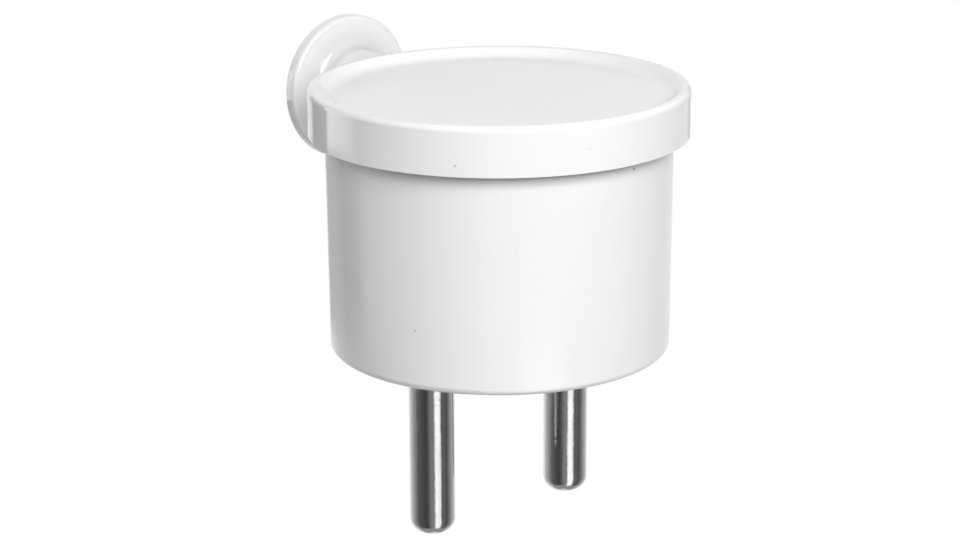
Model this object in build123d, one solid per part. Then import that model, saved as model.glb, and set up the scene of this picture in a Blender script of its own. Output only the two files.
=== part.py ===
from build123d import *
import os

# Angled mains plug, sizes in millimetres.
# The origin is the centre of the socket-side face. The pins point to -Z and the cord leaves to +Y.

# Contact pins with their pillar terminals
pin_pitch = 19.0
pin_diameter = 4.8
pin_reach = 19.0
pin_tip_round = 1.6
pin_shoulder_diameter = 6.0
pin_clearance = 0.05
terminal_diameter = 7.4
terminal_height = 11.0
terminal_chamfer = 0.4
wire_hole_diameter = 3.2
wire_hole_height = 4.6

# Screws that close the terminals
terminal_screw_diameter = 3.0
terminal_screw_gap = 0.3
terminal_screw_head = 5.4
terminal_screw_head_height = 1.6

# Slots and thread clearance, the same on every screw
slot_width = 0.8
slot_depth = 0.7
screw_clearance = 0.05

# Base, a moulded cup with a little draft
base_diameter = 36.4
base_draft = 0.2
base_height = 23.1
base_wall = 2.0
base_floor = 4.0
base_face_round = 0.7
pocket_wall = 1.3
pocket_depth = 4.0

# Screw that pulls the cover down, and the insert that takes it
cover_screw_diameter = 3.5
cover_screw_head = 6.4
cover_screw_head_height = 2.0
cover_screw_recess = 0.5
cover_screw_play = 0.2
insert_diameter = 5.0
insert_length = 6.0
insert_clearance = 0.05
boss_wall = 1.6
boss_gap = 0.2

# Cover, a dished cap that overhangs the base
cover_overhang = 1.7
cover_height = 5.1
rim_outer_round = 0.65
rim_inner_round = 0.4
dish_depth = 1.05
dish_edge_inset = 1.0
dish_wall_run = 1.3
dish_round = 1.8
lip_height = 2.0
lip_width = 1.3
lip_clearance = 0.15
hold_down_wall = 0.9
hold_down_gap = 0.2

# Flared cord outlet, split at the joint between base and cover
outlet_rise = 0.6
outlet_reach = 6.7
collar_diameter = 16.0
collar_width = 1.7
collar_back_round = 0.5
collar_edge_round = 0.5
collar_lip = 1.7
mouth_chamfer = 0.5
neck_wall = 1.25
neck_length = 3.5
neck_round = 1.2
throat_width = 6.4
throat_depth = 5.1

# Cord clamp behind the outlet
clamp_pitch = 16.0
clamp_setback = 6.4
clamp_drop = 4.4
clamp_thickness = 2.0
clamp_width = 6.0
clamp_edge = 0.4
saddle_depth = 1.0
cord_diameter = 4.8
cord_play = 0.4
clamp_post_diameter = 5.4
clamp_screw_diameter = 2.5
clamp_screw_length = 8.0
clamp_screw_head = 4.6
clamp_screw_head_height = 1.5
clamp_screw_end_gap = 0.5
cord_rest_wall = 1.6
cord_rest_width = 3.2

# Places that follow from the sizes above
base_radius = base_diameter / 2
face_radius = base_radius - base_draft
cavity_radius = base_radius - base_wall
cover_radius = base_radius + cover_overhang
joint_z = base_height
crest_z = joint_z + cover_height
dish_z = crest_z - dish_depth
dish_edge = cover_radius - dish_edge_inset
dish_radius = dish_edge - dish_wall_run
terminal_top = base_floor + terminal_height
wire_hole_z = base_floor + wire_hole_height
boss_diameter = insert_diameter + 2 * boss_wall
boss_split = joint_z - insert_length - boss_wall
head_seat_z = cover_screw_recess + cover_screw_head_height
screw_end_z = boss_split + insert_length
outlet_z = joint_z + outlet_rise
mouth_y = cover_radius + outlet_reach
collar_radius = collar_diameter / 2
throat_radius = throat_width / 2
throat_z = joint_z - throat_depth + throat_radius
neck_radius = throat_radius + neck_wall
neck_start_y = cover_radius - rim_outer_round
neck_end_y = cover_radius + neck_length
clamp_y = base_radius - base_wall - clamp_setback
clamp_seat = joint_z - clamp_drop
cord_rest_z = clamp_seat + saddle_depth - cord_diameter / 2
sides = {"left": -1, "right": 1}


def turned(points, radii):
    """Solid of revolution about Z from a closed outline of (radius, height) points."""
    outline = make_face(FilletPolyline(*points, radius=radii, close=True))
    return revolve(Plane.XZ * outline, axis=Axis.Z)


def upright(radius, low, high):
    """Cylinder on the Z axis between two heights."""
    return Pos(0, 0, (low + high) / 2) * Cylinder(radius, high - low)


def along_y(radius, near, far, height):
    """Cylinder that runs along Y at a given height."""
    return Pos(0, (near + far) / 2, height) * Rot(90, 0, 0) * Cylinder(radius, far - near)


def slotted_screw(diameter, length, head_diameter, head_height):
    """Cheese-head screw, head on top with its seat at Z = 0 and the shank below."""
    shank = upright(diameter / 2, -length, 0)
    head = upright(head_diameter / 2, 0, head_height)
    slot = Pos(0, 0, head_height) * Box(head_diameter, slot_width, 2 * slot_depth)
    return shank + head - slot


def make_pin(side):
    """Turned pin: round tip, straight shank, shoulder in the floor, and the terminal pillar inside."""
    shank = pin_diameter / 2
    shoulder = pin_shoulder_diameter / 2
    pillar = terminal_diameter / 2
    outline = [
        (0, -pin_reach),
        (shank, -pin_reach),
        (shank, 0),
        (shoulder, 0),
        (shoulder, base_floor),
        (pillar, base_floor),
        (pillar, terminal_top - terminal_chamfer),
        (pillar - terminal_chamfer, terminal_top),
        (0, terminal_top),
    ]
    pin = turned(outline, [0, pin_tip_round, 0, 0, 0, 0, 0, 0, 0])
    pin -= along_y(wire_hole_diameter / 2, -terminal_diameter, terminal_diameter, wire_hole_z)
    pin -= upright(terminal_screw_diameter / 2 + screw_clearance, wire_hole_z, terminal_top)
    return Pos(side * pin_pitch / 2, 0, 0) * pin


def make_terminal_screw(side):
    """Screw down the pillar, its end just above the wire hole."""
    reach = terminal_top - wire_hole_z - wire_hole_diameter / 2 - terminal_screw_gap
    screw = slotted_screw(terminal_screw_diameter, reach, terminal_screw_head, terminal_screw_head_height)
    return Pos(side * pin_pitch / 2, 0, terminal_top) * screw


def make_cover_screw():
    """Screw from the socket-side face, head downwards, up into the cover's insert."""
    length = screw_end_z - head_seat_z
    screw = slotted_screw(cover_screw_diameter, length, cover_screw_head, cover_screw_head_height)
    return Pos(0, 0, head_seat_z) * Rot(180, 0, 0) * screw


def make_cover_insert():
    """Threaded bush moulded into the cover's boss."""
    low = boss_split + boss_gap
    bush = upright(insert_diameter / 2, low, low + insert_length)
    return bush - upright(cover_screw_diameter / 2 + screw_clearance, low, low + insert_length)


def make_clamp():
    """Bar across the cord with rounded ends, a saddle underneath and a hole for each screw."""
    low = clamp_seat
    high = clamp_seat + clamp_thickness
    bar = extrude(SlotCenterToCenter(clamp_pitch, clamp_width), clamp_thickness)
    bar = chamfer(bar.edges().group_by(Axis.Z)[-1], clamp_edge)
    bar = Pos(0, clamp_y, low) * bar
    bar -= along_y(cord_diameter / 2, clamp_y - clamp_width, clamp_y + clamp_width, cord_rest_z)
    for side in sides.values():
        hole = upright(clamp_screw_diameter / 2 + screw_clearance, low, high)
        bar -= Pos(side * clamp_pitch / 2, clamp_y, 0) * hole
    return bar


def make_clamp_screw(side):
    """Screw through the clamp bar into its post."""
    screw = slotted_screw(
        clamp_screw_diameter, clamp_screw_length, clamp_screw_head, clamp_screw_head_height
    )
    return Pos(side * clamp_pitch / 2, clamp_y, clamp_seat + clamp_thickness) * screw


def outlet_bell():
    """Outside of the cord outlet about its own axis: neck from the rim, hollow curve and collar."""
    outline = [
        (0, neck_start_y),
        (neck_radius, neck_start_y),
        (neck_radius, mouth_y - collar_width),
        (collar_radius, mouth_y - collar_width),
        (collar_radius, mouth_y),
        (0, mouth_y),
    ]
    radii = [0, 0, neck_round, collar_back_round, collar_edge_round, 0]
    profile = make_face(FilletPolyline(*outline, radius=radii, close=True))
    return Pos(0, 0, outlet_z) * revolve(profile, axis=Axis.Y)


def outlet_way(near):
    """Way for the cord: a level throat from the wall that opens like a trumpet to the mouth."""
    throat = along_y(throat_radius, near, neck_end_y, throat_z)
    facing = Plane(origin=(0, 0, 0), x_dir=(1, 0, 0), z_dir=(0, 1, 0))
    inner = facing.offset(neck_end_y) * Pos(0, -throat_z) * Circle(throat_radius)
    outer = facing.offset(mouth_y) * Pos(0, -outlet_z) * Circle(collar_radius - collar_lip)
    trumpet = loft([inner, outer])
    edge = facing.offset(mouth_y) * Pos(0, -outlet_z) * Circle(collar_radius - collar_lip + mouth_chamfer)
    root = facing.offset(mouth_y - mouth_chamfer) * Pos(0, -outlet_z) * Circle(
        collar_radius - collar_lip
    )
    return throat + trumpet + loft([root, edge])


def half_space(low, high):
    """Block wide enough for the whole outlet, between two heights."""
    depth = mouth_y + collar_diameter
    return Pos(0, depth / 2, (low + high) / 2) * Box(2 * collar_diameter, depth, high - low)


def make_base():
    """Cup with draft: pin pockets, screw tube, clamp posts and the lower half of the outlet."""
    body = turned(
        [(0, 0), (face_radius, 0), (base_radius, joint_z), (0, joint_z)],
        [0, base_face_round, 0, 0],
    )
    hollow = upright(cavity_radius, base_floor, joint_z)

    # Lower half of the outlet: half of the bell on a deeper neck, even in wall round the throat
    neck_face = SlotCenterToCenter(outlet_z - throat_z, 2 * neck_radius, rotation=90)
    neck = Pos(0, mouth_y - collar_width, (outlet_z + throat_z) / 2) * Rot(90, 0, 0) * extrude(
        neck_face, mouth_y - collar_width - cavity_radius
    )
    outlet = (outlet_bell() + neck) & half_space(outlet_z - collar_diameter, joint_z)
    cup = body + outlet - hollow

    # Tube for the cover screw and a post under each end of the clamp
    cup += upright(boss_diameter / 2, 0, boss_split)
    for side in sides.values():
        post = upright(clamp_post_diameter / 2, base_floor, clamp_seat)
        cup += Pos(side * clamp_pitch / 2, clamp_y, 0) * post

    # Rest that carries the cord between the posts
    rest_top = cord_rest_z - cord_diameter / 2 + cord_rest_wall
    rest = Pos(0, clamp_y, (base_floor + rest_top) / 2) * Box(
        clamp_pitch, cord_rest_width, rest_top - base_floor
    )
    cup += rest - along_y(cord_diameter / 2 + cord_play, 0, base_radius, cord_rest_z)

    # Screw hole down each post
    hole_end = clamp_seat + clamp_thickness - clamp_screw_length - clamp_screw_end_gap
    for side in sides.values():
        hole = upright(clamp_screw_diameter / 2 + screw_clearance, hole_end, clamp_seat)
        cup -= Pos(side * clamp_pitch / 2, clamp_y, 0) * hole

    # Pocket ring round the foot of each terminal pillar
    for side in sides.values():
        ring = upright(terminal_diameter / 2 + pocket_wall, base_floor, base_floor + pocket_depth)
        cup += Pos(side * pin_pitch / 2, 0, 0) * ring
    for side in sides.values():
        pocket = upright(terminal_diameter / 2 + pin_clearance, base_floor, joint_z)
        bore = upright(pin_shoulder_diameter / 2 + pin_clearance, 0, base_floor)
        cup -= Pos(side * pin_pitch / 2, 0, 0) * (pocket + bore)

    # Way of the cover screw, with its head sunk in the face
    cup -= upright(cover_screw_diameter / 2 + cover_screw_play, 0, boss_split)
    cup -= upright(cover_screw_head / 2 + cover_screw_play, 0, head_seat_z)

    # Notch for the cord, open at the joint
    notch = Pos(0, (cavity_radius + cover_radius) / 2, (throat_z + joint_z) / 2) * Box(
        throat_width, cover_radius - cavity_radius + base_wall, joint_z - throat_z
    )
    return cup - outlet_way(cavity_radius - base_wall) - notch


def make_cover():
    """Dished cap: raised rim, locating lip, hold-downs, screw boss and the upper half of the outlet."""
    cap = turned(
        [
            (0, joint_z),
            (cover_radius, joint_z),
            (cover_radius, crest_z),
            (dish_edge, crest_z),
            (dish_radius, dish_z),
            (0, dish_z),
        ],
        [0, 0, rim_outer_round, rim_inner_round, dish_round, 0],
    )
    cap += outlet_bell() & half_space(joint_z, outlet_z + collar_diameter)
    cap -= outlet_way(base_radius)

    # Lip that centres the cover in the base, left out where the cord and its clamp are
    lip = upright(cavity_radius - lip_clearance, joint_z - lip_height, joint_z)
    lip -= upright(cavity_radius - lip_clearance - lip_width, joint_z - lip_height, joint_z)
    gap_width = clamp_pitch + clamp_post_diameter + 2 * cord_play
    gap = Pos(0, base_radius / 2, joint_z - lip_height / 2) * Box(gap_width, base_radius, lip_height)
    cap += lip - gap

    # Hollow hold-down over each pillar, clear of the screw head inside it
    for side in sides.values():
        inside = terminal_screw_head / 2 + hold_down_gap
        tube = upright(inside + hold_down_wall, terminal_top + hold_down_gap, joint_z)
        tube -= upright(inside, terminal_top + hold_down_gap, joint_z)
        cap += Pos(side * pin_pitch / 2, 0, 0) * tube

    # Boss round the insert
    cap += upright(boss_diameter / 2, boss_split + boss_gap, joint_z)
    insert_top = boss_split + boss_gap + insert_length
    cap -= upright(insert_diameter / 2 + insert_clearance, boss_split + boss_gap, insert_top)
    return cap


os.makedirs("parts", exist_ok=True)
export_step(make_base(), "parts/base.step")
export_step(make_cover(), "parts/cover.step")
export_step(make_cover_screw(), "parts/cover_screw.step")
export_step(make_cover_insert(), "parts/cover_insert.step")
export_step(make_clamp(), "parts/cord_clamp.step")
for name, side in sides.items():
    export_step(make_pin(side), f"parts/pin_{name}.step")
    export_step(make_terminal_screw(side), f"parts/terminal_screw_{name}.step")
    export_step(make_clamp_screw(side), f"parts/clamp_screw_{name}.step")
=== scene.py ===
import math

import bpy
import numpy as np
from mathutils import Matrix, Vector

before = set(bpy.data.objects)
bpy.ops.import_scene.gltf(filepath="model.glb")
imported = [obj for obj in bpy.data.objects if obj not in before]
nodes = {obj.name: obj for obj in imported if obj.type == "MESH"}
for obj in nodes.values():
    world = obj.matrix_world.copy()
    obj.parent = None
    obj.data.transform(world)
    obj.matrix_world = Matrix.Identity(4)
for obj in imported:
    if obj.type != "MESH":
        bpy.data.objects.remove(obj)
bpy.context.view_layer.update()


# Base: the round cup with the pins in its floor and the lower half of the cord outlet.
# One glossy white moulding of hard plastic, with a little draft so that it leaves its mould,
# and held to the cover by a screw that runs up its middle.

def new_material(name):
    """New node material, given with its tree, its Principled shader and its object coordinates."""
    material = bpy.data.materials.new(name)
    material.use_nodes = True
    tree = material.node_tree
    shader = tree.nodes["Principled BSDF"]
    place = tree.nodes.new("ShaderNodeTexCoord").outputs["Object"]
    return material, tree, shader, place


def add_node(tree, kind, settings=None, **inputs):
    """Adds a node; settings are its own properties, inputs are values or links for its sockets."""
    node = tree.nodes.new(kind)
    for key, value in (settings or {}).items():
        setattr(node, key, value)
    for key, value in inputs.items():
        socket = node.inputs[key]
        if isinstance(value, bpy.types.NodeSocket):
            tree.links.new(value, socket)
        else:
            socket.default_value = value
    return node


def noise(tree, place, scale, detail):
    """Smooth noise about one half over a place; a larger scale gives smaller patches."""
    node = add_node(tree, "ShaderNodeTexNoise", Vector=place, Scale=scale, Detail=detail)
    return node.outputs["Fac"]


def remap(tree, value, low, high, to_low, to_high):
    """Straight-line change of a value from one span to another, held at both ends."""
    node = add_node(tree, "ShaderNodeMapRange", Value=value)
    for index, number in zip(range(1, 5), (low, high, to_low, to_high)):
        node.inputs[index].default_value = number
    return node.outputs["Result"]


def combine(tree, operation, first, second):
    """One step of arithmetic on two linked values."""
    node = add_node(tree, "ShaderNodeMath", {"operation": operation})
    tree.links.new(first, node.inputs[0])
    tree.links.new(second, node.inputs[1])
    return node.outputs[0]


def add_share(tree, value, share, other):
    """A fixed share of one linked value, added to another."""
    node = add_node(tree, "ShaderNodeMath", {"operation": "MULTIPLY_ADD"})
    tree.links.new(value, node.inputs[0])
    node.inputs[1].default_value = share
    tree.links.new(other, node.inputs[2])
    return node.outputs[0]


def tint(tree, colour, tone):
    """A linked colour times a linked tone."""
    node = add_node(tree, "ShaderNodeVectorMath", {"operation": "SCALE"}, Scale=tone)
    tree.links.new(colour, node.inputs[0])
    return node.outputs["Vector"]


def distance_from(tree, place, centre):
    """Straight distance of a linked place from a fixed centre."""
    node = add_node(tree, "ShaderNodeVectorMath", {"operation": "DISTANCE"})
    tree.links.new(place, node.inputs[0])
    node.inputs[1].default_value = centre
    return node.outputs["Value"]


def new_skin(name, **inputs):
    """Empty shader group for a skin: it takes a place and the named inputs, each with its kind of
    socket, and gives a colour, a roughness and a height."""
    tree = bpy.data.node_groups.new(name, "ShaderNodeTree")
    taken = {"Place": "Vector", **inputs}
    made = {"Colour": "Color", "Roughness": "Float", "Height": "Float"}
    for direction, sockets in (("INPUT", taken), ("OUTPUT", made)):
        for title, kind in sockets.items():
            tree.interface.new_socket(title, in_out=direction, socket_type="NodeSocket" + kind)
    given = tree.nodes.new("NodeGroupInput").outputs
    result = tree.nodes.new("NodeGroupOutput").inputs
    return tree, given, result


def build_moulding_skin():
    """Shader group for the skin of a plastic moulding. From a place it gives a faint cloudiness of
    the colour, dark where the mask of dust specks and painted shade is one, a dullness that varies
    a little, and the height of the soft waviness that a polished mould leaves."""
    cloud_scale, smear_scale, wave_scale, grain_scale = 70.0, 260.0, 190.0, 2600.0
    grain_share = 0.12
    # Dark grey for dust specks, and also for painted shade where a material passes some.
    dust_and_shade_grey = (0.12, 0.12, 0.12, 1.0)
    tree, given, result = new_skin("moulding_skin", Resin="Color", Dust="Float", Dullness="Float")

    cloud = noise(tree, given["Place"], cloud_scale, 3.0)
    clouded = tint(tree, given["Resin"], remap(tree, cloud, 0.3, 0.7, 0.988, 1.0))
    # The dust input carries dust specks and also painted shade; where it is one the colour turns dark
    # grey.
    dusted_and_shaded = add_node(tree, "ShaderNodeMix", {"data_type": "RGBA"}, Factor=given["Dust"])
    clean_colour, dust_and_shade_colour, mixed_colour = dusted_and_shaded.inputs[6], dusted_and_shaded.inputs[7], dusted_and_shaded.outputs[2]
    tree.links.new(clouded, clean_colour)
    dust_and_shade_colour.default_value = dust_and_shade_grey
    tree.links.new(mixed_colour, result["Colour"])

    smear = noise(tree, given["Place"], smear_scale, 4.0)
    swing = remap(tree, smear, 0.3, 0.7, -0.01, 0.015)
    tree.links.new(combine(tree, "ADD", given["Dullness"], swing), result["Roughness"])

    wave = noise(tree, given["Place"], wave_scale, 1.0)
    grain = noise(tree, given["Place"], grain_scale, 2.0)
    tree.links.new(add_share(tree, grain, grain_share, wave), result["Height"])
    return tree


moulding_skin = build_moulding_skin()


def dust_mask(tree, place, specks):
    """The strongest of several round specks, each given by its place, its radius and its darkness:
    full in the core and fading to nought at the radius."""
    core_share = 0.4
    strongest = None
    for centre, radius, darkness in specks:
        away = distance_from(tree, place, centre)
        speck = remap(tree, away, core_share * radius, radius, darkness, 0.0)
        strongest = speck if strongest is None else combine(tree, "MAXIMUM", speck, strongest)
    return strongest


def join_skin(tree, shader, skin, bump_strength, bump_height):
    """Links a skin to the Principled shader: its colour, its roughness, and its height as a bump."""
    bump = add_node(tree, "ShaderNodeBump", Height=skin.outputs["Height"],
                    Strength=bump_strength, Distance=bump_height)
    tree.links.new(skin.outputs["Colour"], shader.inputs["Base Color"])
    tree.links.new(skin.outputs["Roughness"], shader.inputs["Roughness"])
    tree.links.new(bump.outputs["Normal"], shader.inputs["Normal"])


def moulded_plastic(name, resin, specks, dullness, waviness, painted_shade=None):
    """Glossy moulded plastic: the moulding skin drives colour, roughness and bump, and painted
    shade, where there is some, lies over the dust specks."""
    wave_height = 0.0004
    material, tree, shader, place = new_material(name)
    dust_and_shade = dust_mask(tree, place, specks)
    # The film, where given, is painted shade, laid over the dust specks.
    if painted_shade:
        dust_and_shade = combine(tree, "MAXIMUM", dust_and_shade, painted_shade(tree, place))
    skin = add_node(tree, "ShaderNodeGroup", {"node_tree": moulding_skin},
                    Place=place, Resin=resin, Dust=dust_and_shade, Dullness=dullness)
    join_skin(tree, shader, skin, waviness, wave_height)
    shader.inputs["IOR"].default_value = 1.52
    return material


def wear_finish(node_name, material):
    """Gives a CAD node its finish in place of the plain one it came with."""
    mesh = nodes[node_name].data
    mesh.materials.clear()
    mesh.materials.append(material)


def under_cap_painted_shade(tree, place):
    """Painted shade under the cap's overhang, on the base just below the joint: a ramp of the
    height, up to the joint with the cover, times a ramp along Y that clears the outlet."""
    # Painted shade: the base turns darker towards the joint with the cover.
    shade_start, shade_full, shade_darkness = 0.0215, 0.0230, 0.20
    outlet_start, outlet_clear = 0.0190, 0.0205
    along = add_node(tree, "ShaderNodeSeparateXYZ", Vector=place).outputs
    under_cap = remap(tree, along["Z"], shade_start, shade_full, 0.0, shade_darkness)
    off_outlet = remap(tree, along["Y"], outlet_start, outlet_clear, 1.0, 0.0)
    return combine(tree, "MULTIPLY", under_cap, off_outlet)


base_resin = (0.86, 0.86, 0.86, 1.0)
base_dullness = 0.14
mould_waviness = 0.02
base_specks = [
    ((-0.01690, -0.00648, 0.00634), 0.00018, 0.4),
    ((0.00209, -0.01808, 0.02210), 0.00018, 0.8),
]
# The base's plastic has painted shade just below the cap's overhang.
base_white = moulded_plastic(
    "base_white", base_resin, base_specks, base_dullness, mould_waviness, under_cap_painted_shade
)
wear_finish("base", base_white)


# Cover: the dished cap that overhangs the base, with the upper half of the cord outlet.
# The same white plastic from a mould of its own, which is polished more than the base's.

def outlet_hollow_painted_shade(tree, place):
    """Painted shade in the hollow of the cord outlet: a ramp of the distance from the outlet's axis,
    strongest at the neck, times ramps that clear the rim and the cap along Y and the joint along Z."""
    outlet_height = 0.0237
    inner_radius, outer_radius = 0.0048, 0.0070
    inner_darkness, outer_darkness = 0.32, 0.13
    cap_start, cap_clear = 0.0228, 0.0241
    rim_start, rim_clear = 0.0251, 0.0255
    joint_start, joint_clear = 0.0225, 0.0262
    across = add_node(tree, "ShaderNodeVectorMath", {"operation": "MULTIPLY"})
    tree.links.new(place, across.inputs[0])
    across.inputs[1].default_value = (1.0, 0.0, 1.0)
    away = distance_from(tree, across.outputs["Vector"], (0.0, 0.0, outlet_height))
    along = add_node(tree, "ShaderNodeSeparateXYZ", Vector=place).outputs
    off_rim = remap(tree, along["Y"], rim_start, rim_clear, 1.0, 0.0)
    off_cap = remap(tree, along["Y"], cap_start, cap_clear, 0.0, 1.0)
    off_joint = remap(tree, along["Z"], joint_start, joint_clear, 0.0, 1.0)
    painted_shade = remap(tree, away, inner_radius, outer_radius, inner_darkness, outer_darkness)
    for ramp in (off_rim, off_cap, off_joint):
        painted_shade = combine(tree, "MULTIPLY", painted_shade, ramp)
    return painted_shade


cover_resin = (0.87, 0.87, 0.87, 1.0)
cover_dullness = 0.07
cover_specks = [
    ((-0.01600, -0.01184, 0.02424), 0.00017, 0.5),
    ((-0.00508, -0.01924, 0.02550), 0.00024, 0.1),
]
# The cover's plastic has painted shade in the hollow of the cord outlet.
cover_white = moulded_plastic(
    "cover_white", cover_resin, cover_specks, cover_dullness, mould_waviness, outlet_hollow_painted_shade
)
wear_finish("cover", cover_white)


# Contact pins: two round pins turned from bar and nickel plated, each with a rounded tip.
# They are fixed in the floor of the base, and years of sockets have drawn fine lines along them.

def build_drawn_skin():
    """Shader group for metal with fine lines along Z. Noise stretched along the axis streaks the
    colour, a broad noise sets the dull patches, and a finer one with a share of the streaks gives
    the height of shallow dents."""
    line_stretch = (1.0, 1.0, 0.012)
    line_scale, dull_scale, dent_scale = 5200.0, 420.0, 900.0
    line_share = 0.14
    tree, given, result = new_skin("drawn_skin", Metal="Color", Dullness="Float")

    stretched = add_node(tree, "ShaderNodeMapping", Vector=given["Place"], Scale=line_stretch)
    lines = noise(tree, stretched.outputs["Vector"], line_scale, 4.0)
    streaked = tint(tree, given["Metal"], remap(tree, lines, 0.3, 0.7, 0.84, 1.06))
    tree.links.new(streaked, result["Colour"])

    dull = noise(tree, given["Place"], dull_scale, 5.0)
    swing = remap(tree, dull, 0.35, 0.7, -0.04, 0.06)
    tree.links.new(combine(tree, "ADD", given["Dullness"], swing), result["Roughness"])

    dents = noise(tree, given["Place"], dent_scale, 2.0)
    tree.links.new(add_share(tree, lines, line_share, dents), result["Height"])
    return tree


drawn_skin = build_drawn_skin()


def drawn_metal(name, metal, dullness, dent_depth):
    """Metal that the drawn skin gives its colour, its roughness and its bump."""
    dent_height = 0.00005
    material, tree, shader, place = new_material(name)
    skin = add_node(tree, "ShaderNodeGroup", {"node_tree": drawn_skin},
                    Place=place, Metal=metal, Dullness=dullness)
    join_skin(tree, shader, skin, dent_depth, dent_height)
    shader.inputs["Metallic"].default_value = 1.0
    return material


nickel = (0.62, 0.62, 0.62, 1.0)
pin_plating = drawn_metal("pin_plating", nickel, dullness=0.12, dent_depth=0.45)
for pin in ("pin_left", "pin_right"):
    wear_finish(pin, pin_plating)


# Inside: steel screws for the terminals, the clamp and the cover, the brass insert that the
# cover screw bites into, and the plastic bar that clamps the cord behind the outlet.

steel = (0.66, 0.66, 0.66, 1.0)
screw_steel = drawn_metal("screw_steel", steel, dullness=0.26, dent_depth=0.3)
for screw in ("terminal_screw_left", "terminal_screw_right", "clamp_screw_left",
              "clamp_screw_right", "cover_screw"):
    wear_finish(screw, screw_steel)
brass = (0.78, 0.60, 0.30, 1.0)
insert_brass = drawn_metal("insert_brass", brass, dullness=0.28, dent_depth=0.3)
wear_finish("cover_insert", insert_brass)
clamp_resin = (0.82, 0.82, 0.81, 1.0)
clamp_specks = [((0.0030, 0.0110, 0.0207), 0.00020, 0.4)]
clamp_white = moulded_plastic("clamp_white", clamp_resin, clamp_specks, dullness=0.38, waviness=0.04)
wear_finish("cord_clamp", clamp_white)


# Floor: a wide sheet of matt paper well below the plug, so that the plug stands clear of it.
# It is white to the eye and to mirrors, and a mid grey to the light that it sends back up.

def sheet_mesh(name, places):
    """Mesh from a grid of places, an array of rows by columns by 3, joined in quads."""
    rows, columns = places.shape[:2]
    first = (np.arange(rows - 1)[:, None] * columns + np.arange(columns - 1)).ravel()
    quads = np.stack([first, first + 1, first + columns + 1, first + columns], 1)
    mesh = bpy.data.meshes.new(name)
    mesh.from_pydata(places.reshape(-1, 3).tolist(), [], quads.tolist())
    thing = bpy.data.objects.new(name, mesh)
    bpy.context.scene.collection.objects.link(thing)
    return thing


floor_drop = 0.25
floor_reach = 6.0
span = np.linspace(-floor_reach, floor_reach, 3)
floor_x, floor_y = np.meshgrid(span, span)
floor = sheet_mesh("floor", np.stack([floor_x, floor_y, np.full_like(floor_x, -floor_drop)], 2))


def mix_by_ray(tree, others, seen, output):
    """Shows one shader to rays from the eye, a mirror or glass, and another to all other rays."""
    path = tree.nodes.new("ShaderNodeLightPath").outputs
    eye_or_mirror = combine(tree, "MAXIMUM", path["Is Camera Ray"], path["Is Glossy Ray"])
    shown = combine(tree, "MAXIMUM", eye_or_mirror, path["Is Transmission Ray"])
    mix = add_node(tree, "ShaderNodeMixShader", Fac=shown)
    tree.links.new(others.outputs[0], mix.inputs[1])
    tree.links.new(seen.outputs[0], mix.inputs[2])
    tree.links.new(mix.outputs[0], tree.nodes[output].inputs["Surface"])


paper_dark, paper_light = 0.38, 0.42
fibre_scale = 900.0
floor_paper, floor_tree, floor_shader, floor_place = new_material("floor_paper")
fibres = noise(floor_tree, floor_place, fibre_scale, 2.0)
paper = remap(floor_tree, fibres, 0.3, 0.7, paper_dark, paper_light)
floor_tree.links.new(paper, floor_shader.inputs["Base Color"])
floor_shader.inputs["Roughness"].default_value = 0.9
floor_white = add_node(floor_tree, "ShaderNodeEmission", Strength=1.0)
mix_by_ray(floor_tree, floor_shader, floor_white, "Material Output")
floor.data.materials.append(floor_paper)


# Studio: a dark room with a grey floor round the plug, which only the gloss and the pins mirror.
# Its cloth has a lit strip low on the right, and pale cards and black flags on the left, one set
# for the cap and one for the base. Two soft lamps and a plain grey sky light the plug.

heading = math.radians(-40.6)
room_radius = 0.35
room_bottom = -0.245
room_end = 162.0
cap_rows = [(room_radius, 0.1), (room_radius, -0.060)]
base_rows = [(room_radius, -0.062), (room_radius, -0.106)]
pin_rows = [(room_radius, -0.112), (room_radius, room_bottom), (0.18, room_bottom)]
underfoot_rows = [(0.12, room_bottom), (0.004, room_bottom)]
side = np.linspace(-room_end, room_end, 325)


def room_places(rows):
    """Wall and floor of the room: each row has a radius and a height, and is turned about the plug
    by the side angle, which is nought where the eye stands and grows to its left."""
    radius, height = np.hsplit(np.array(rows), 2)
    turn = np.radians(side) + math.pi - heading
    return np.stack([radius * np.sin(turn), radius * np.cos(turn), height.repeat(len(side), 1)], 2)


room = sheet_mesh("dark_room", room_places(cap_rows + base_rows + pin_rows + underfoot_rows))
room.visible_camera = False
room.visible_diffuse = False
room.visible_shadow = False


def edge(start, sharpness):
    """Soft step of the side angle: nought well before the start, one well after it."""
    return 1.0 / (1.0 + np.exp((start - side) * sharpness))


def patch(centre, spread):
    """Bell curve of the side angle: one at the centre, fading over the spread."""
    return np.exp(-((side - centre) / spread) ** 2)


def slope(angle, start, run):
    """Straight rise of an angle's tone: nought up to the start, one after the run."""
    return np.clip((angle - start) / run, 0.0, 1.0)


cloth_tone = 0.075
front_glow = 0.24 * patch(2.0, 15.0)
right_glow = 0.11 * patch(-60.0, 13.0)
left_glow = 0.10 * slope(side, 36.0, 50.0)
rear_glow = 0.92 * slope(np.abs(side), 74.0, 74.0) ** 1.2
cloth = cloth_tone + front_glow + right_glow + left_glow + rear_glow

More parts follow.
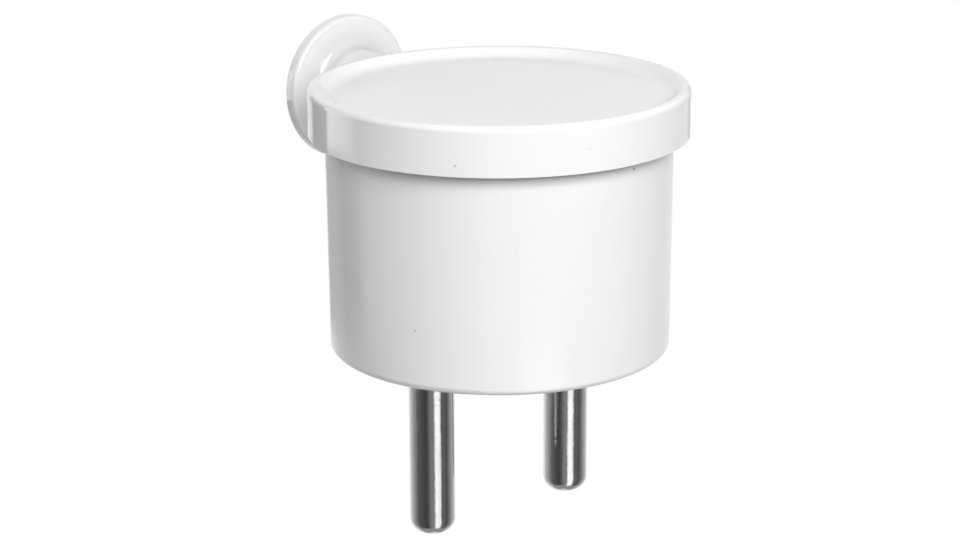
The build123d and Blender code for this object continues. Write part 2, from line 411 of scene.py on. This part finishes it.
cap_card = 2.3 * edge(96.0, 0.35)
left_flag, left_end, right_flag = edge(121.5, 1.2), edge(147.0, 1.5), 1.0 - edge(-151.0, 1.2)
by_cap = (
    (cloth + cap_card) * (1.0 - left_flag) * (1.0 - right_flag)
    + 0.12 * (left_flag - left_end)
    + left_end
    + 0.6 * right_flag
)
base_card = 0.6 * edge(68.0, 0.2)
base_flag, base_end = edge(101.0, 0.6), edge(127.0, 0.6)
by_base = (cloth + base_card) * (1.0 - base_flag) + 0.03 * (base_flag - base_end) + 0.4 * base_end
strip_centre, strip_reach = -28.0, 15.0
strip = 1.55 / (1.0 + np.exp((np.abs(side - strip_centre) - strip_reach) * 0.5))
by_pins = cloth + strip
underfoot = np.full_like(side, 0.42)
tones = np.concatenate(
    [by_cap] * len(cap_rows) + [by_base] * len(base_rows)
    + [by_pins] * len(pin_rows) + [underfoot] * len(underfoot_rows)
)
room_tone = room.data.color_attributes.new("tone", "FLOAT_COLOR", "POINT")
room_tone.data.foreach_set("color", np.repeat(tones[:, None], 4, 1).astype(np.float32).ravel())
room_cloth, room_tree = new_material("room_cloth")[:2]
tone_seen = add_node(room_tree, "ShaderNodeAttribute", {"attribute_name": "tone"})
room_glow = add_node(room_tree, "ShaderNodeEmission", Color=tone_seen.outputs["Color"], Strength=1.0)
room_tree.links.new(room_glow.outputs[0], room_tree.nodes["Material Output"].inputs["Surface"])
room.data.materials.append(room_cloth)


def soft_lamp(name, side_degrees, height_degrees, distance, width, height, power):
    """Rectangular lamp aimed at the plug, placed by its angle to the right of the eye and above it."""
    lamp = bpy.data.lights.new(name, "AREA")
    lamp.shape = "RECTANGLE"
    lamp.size = width
    lamp.size_y = height
    lamp.energy = power
    thing = bpy.data.objects.new(name, lamp)
    bpy.context.scene.collection.objects.link(thing)
    turned = heading + math.radians(side_degrees)
    up = math.radians(height_degrees)
    back = Vector((math.sin(turned) * math.cos(up), -math.cos(turned) * math.cos(up), math.sin(up)))
    plug_middle = Vector((0.0, 0.0, 0.012))
    thing.location = plug_middle + back * distance
    thing.rotation_mode = "QUATERNION"
    thing.rotation_quaternion = (-back).to_track_quat("-Z", "Y")
    return thing


soft_lamp("key_lamp", side_degrees=20.0, height_degrees=31.0, distance=0.47,
          width=0.38, height=0.24, power=2.31)
back_lamp = soft_lamp("back_lamp", side_degrees=-145.0, height_degrees=5.0, distance=0.6,
                      width=0.3, height=0.3, power=2.6)
back_lamp.visible_glossy = False

white = (1.0, 1.0, 1.0, 1.0)
sky_light = 0.33
sky = bpy.data.worlds.new("studio_sky")
bpy.context.scene.world = sky
sky.use_nodes = True
sky_tree = sky.node_tree
grey_sky = sky_tree.nodes["Background"]
grey_sky.inputs["Color"].default_value = white
grey_sky.inputs["Strength"].default_value = sky_light
white_sky = add_node(sky_tree, "ShaderNodeBackground", Color=white, Strength=1.0)
mix_by_ray(sky_tree, grey_sky, white_sky, "World Output")
bpy.context.scene.view_settings.view_transform = "Standard"


# Eye: a long lens close to the plug and a little above it, turned so that the cord outlet
# stands behind the cap on the left.

eye_distance = 0.2801
eye_height = math.radians(16.41)
eye_roll = math.radians(-0.29)
eye_target = Vector((-0.001572, 0.001347, 0.00789))
lens = bpy.data.cameras.new("eye")
lens.sensor_width = 36.0
lens.lens = 99.26
lens.clip_start = 0.01
lens.clip_end = 50.0
eye = bpy.data.objects.new("eye", lens)
bpy.context.scene.collection.objects.link(eye)
aim = (
    Matrix.Rotation(heading, 4, "Z")
    @ Matrix.Rotation(math.pi / 2 - eye_height, 4, "X")
    @ Matrix.Rotation(eye_roll, 4, "Z")
)
eye_place = eye_target + aim.to_3x3() @ Vector((0.0, 0.0, eye_distance))
eye.matrix_world = Matrix.Translation(eye_place) @ aim
bpy.context.scene.camera = eye
